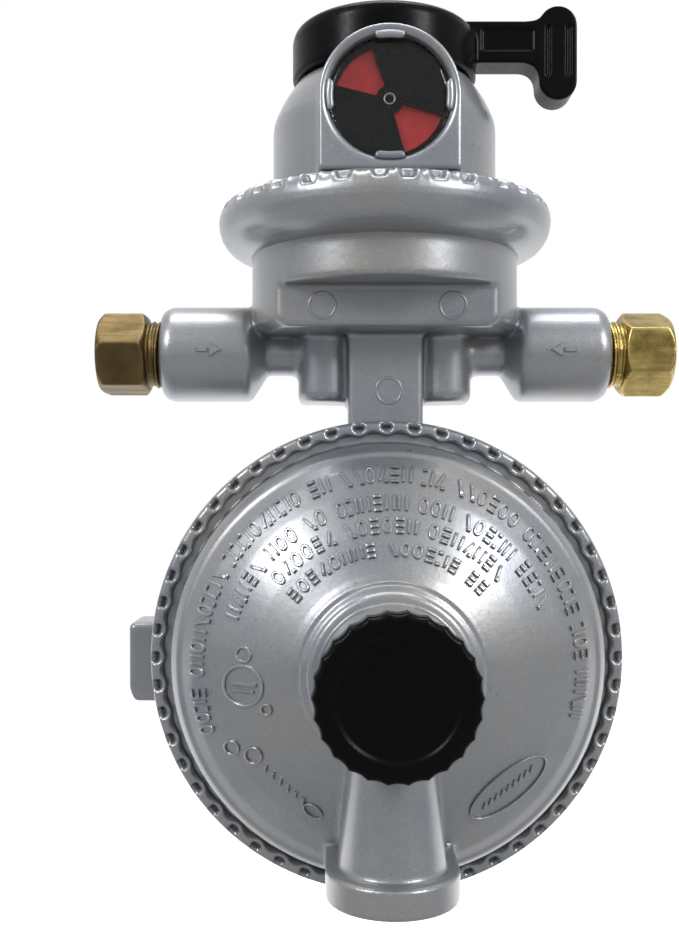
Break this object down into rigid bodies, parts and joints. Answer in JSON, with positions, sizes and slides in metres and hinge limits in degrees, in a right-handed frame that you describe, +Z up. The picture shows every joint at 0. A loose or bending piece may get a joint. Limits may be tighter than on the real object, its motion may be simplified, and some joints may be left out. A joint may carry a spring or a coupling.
{
  "type": "two-stage automatic changeover propane regulator",
  "caption": "Two-stage propane regulator with a changeover lever between left and right inlets, a red/green supply window, a capped pressure adjuster and a downward vent.",
  "frame": {"origin": "centre of the flat mounting pad on the back of the second stage", "axes": "+Z up as mounted, +X towards the right-hand inlet seen from the front, -Y out of the front, so +Y points into the bracket"},
  "size_m": [0.1156, 0.0878, 0.1812],
  "materials": {
    "silver_paint": "speckled silver-grey paint, semi-gloss",
    "black_plastic": "moulded black, satin",
    "clear_plastic": "clear polycarbonate, polished",
    "red_plastic": "red and green indicator fields",
    "white_plastic": "natural acetal",
    "bright_brass": "machined, lightly scratched",
    "dull_brass": "machined, tarnished",
    "bronze": "sintered, porous",
    "black_rubber": "nitrile rubber, matt",
    "aluminium": "turned",
    "spring_steel": "drawn wire",
    "plated_steel": "zinc plated"
  },
  "bodies": {
    "regulator_body": {"first_stage_bonnet": "silver_paint", "first_stage_diaphragm": "black_rubber", "first_stage_spring": "spring_steel", "indicator_lens": "clear_plastic", "indicator_mask": "black_plastic", "inlet_filter_left": "bronze", "inlet_filter_right": "bronze", "inlet_fitting_left": "dull_brass", "inlet_fitting_right": "bright_brass", "inlet_poppet_spring_left": "spring_steel", "inlet_poppet_spring_right": "spring_steel", "inlet_valve_seat_left": "bright_brass", "inlet_valve_seat_right": "bright_brass", "lever_pivot_pin": "plated_steel", "main_body": "silver_paint", "pressure_tap_plug": "plated_steel", "relief_spring": "spring_steel", "second_stage_bonnet": "silver_paint", "second_stage_diaphragm": "black_rubber", "second_stage_orifice": "bright_brass", "second_stage_spring": "spring_steel", "vent_screen": "plated_steel", "vent_screen_ring": "spring_steel"},
    "changeover": {"changeover_knob": "black_plastic", "knob_screw": "plated_steel", "changeover_shaft": "bright_brass", "shaft_o_ring": "black_rubber", "shaft_retaining_ring": "spring_steel"},
    "first_diaphragm": {"first_stage_diaphragm_hub": "bright_brass", "first_stage_diaphragm_plate": "aluminium", "first_stage_diaphragm_nut": "bright_brass", "indicator_rack": "white_plastic"},
    "cam": {"changeover_cam": "white_plastic"},
    "indicator": {"indicator_disc": "red_plastic", "indicator_spindle": "black_plastic"},
    "left_poppet": {"inlet_poppet_left": "plated_steel", "inlet_poppet_pad_left": "black_rubber"},
    "right_poppet": {"inlet_poppet_right": "plated_steel", "inlet_poppet_pad_right": "black_rubber"},
    "second_diaphragm": {"second_stage_diaphragm_plate": "plated_steel", "second_stage_backing_plate": "aluminium"},
    "relief_valve": {"relief_stem": "bright_brass", "relief_spring_retainer": "plated_steel"},
    "lever": {"second_stage_lever": "plated_steel"},
    "valve_disc": {"valve_disc_holder": "aluminium", "valve_disc": "black_rubber"},
    "spring_seat": {"spring_seat": "plated_steel"},
    "adjusting_screw": {"adjusting_screw": "aluminium"},
    "cap_gasket": {"cap_gasket": "black_rubber"},
    "adjustment_cap": {"adjustment_cap": "black_plastic"}
  },
  "joints": [
    {"name": "changeover_lever_turn", "type": "hinge", "parent": "regulator_body", "child": "changeover", "pos_m": [0, -0.02, 0.1199], "axis": [0, 0, 1], "range_deg": [-180, 0]},
    {"name": "first_stage_diaphragm_travel", "type": "slide", "parent": "regulator_body", "child": "first_diaphragm", "axis": [0, 0, 1], "range_m": [0, 0.003], "stiffness_N_per_m": 1500, "springref_m": -0.012, "deforming": ["first_stage_spring", "first_stage_diaphragm"]},
    {"name": "changeover_cam_turn", "type": "hinge", "parent": "first_diaphragm", "child": "cam", "pos_m": [0, -0.02, 0.0759], "axis": [0, 0, 1], "range_deg": [-180, 0]},
    {"name": "indicator_turn", "type": "hinge", "parent": "regulator_body", "child": "indicator", "pos_m": [0, -0.04, 0.104], "axis": [0, 1, 0], "range_deg": [0, 90]},
    {"name": "left_poppet_travel", "type": "slide", "parent": "regulator_body", "child": "left_poppet", "axis": [0, 0, 1], "range_m": [0, 0.001], "deforming": ["inlet_poppet_spring_left"]},
    {"name": "right_poppet_travel", "type": "slide", "parent": "regulator_body", "child": "right_poppet", "axis": [0, 0, 1], "range_m": [0, 0.001], "deforming": ["inlet_poppet_spring_right"]},
    {"name": "second_stage_diaphragm_travel", "type": "slide", "parent": "regulator_body", "child": "second_diaphragm", "axis": [0, -1, 0], "range_m": [0, 0.004], "stiffness_N_per_m": 500, "springref_m": -0.012, "deforming": ["second_stage_spring", "second_stage_diaphragm"]},
    {"name": "relief_valve_travel", "type": "slide", "parent": "second_diaphragm", "child": "relief_valve", "axis": [0, 1, 0], "range_m": [0, 0.0015], "stiffness_N_per_m": 600, "springref_m": -0.006, "deforming": ["relief_spring"]},
    {"name": "second_stage_lever_turn", "type": "hinge", "parent": "regulator_body", "child": "lever", "pos_m": [0, -0.014, 0.0289], "axis": [-1, 0, 0], "range_deg": [0, 8]},
    {"name": "valve_disc_travel", "type": "slide", "parent": "regulator_body", "child": "valve_disc", "axis": [0, 0, 1], "range_m": [0, 0.00085]},
    {"name": "spring_seat_travel", "type": "slide", "parent": "regulator_body", "child": "spring_seat", "axis": [0, 1, 0], "range_m": [-0.002, 0.002]},
    {"name": "adjusting_screw_turn", "type": "hinge", "parent": "spring_seat", "child": "adjusting_screw", "pos_m": [0, -0.057, 0], "axis": [0, 1, 0], "range_deg": [-720, 720]},
    {"name": "cap_gasket_travel", "type": "slide", "parent": "regulator_body", "child": "cap_gasket", "axis": [0, -1, 0], "range_m": [0, 0.006]},
    {"name": "adjustment_cap_turn", "type": "hinge", "parent": "cap_gasket", "child": "adjustment_cap", "pos_m": [0, -0.07, 0], "axis": [0, -1, 0], "range_deg": [0, 1440]}
  ],
  "couplings": [
    {"joint": "changeover_cam_turn", "follows": "changeover_lever_turn", "ratio": 1},
    {"joint": "indicator_turn", "follows": "first_stage_diaphragm_travel", "rad_per_m": 523.5},
    {"joint": "left_poppet_travel", "follows": "first_stage_diaphragm_travel", "ratio": 0.3333},
    {"joint": "right_poppet_travel", "follows": "first_stage_diaphragm_travel", "ratio": 0.3333},
    {"joint": "second_stage_lever_turn", "follows": "second_stage_diaphragm_travel", "rad_per_m": 34.6},
    {"joint": "valve_disc_travel", "follows": "second_stage_diaphragm_travel", "ratio": 0.21},
    {"joint": "adjusting_screw_turn", "follows": "spring_seat_travel", "rad_per_m": 6283.2},
    {"joint": "adjustment_cap_turn", "follows": "cap_gasket_travel", "rad_per_m": 4188.8}
  ]
}
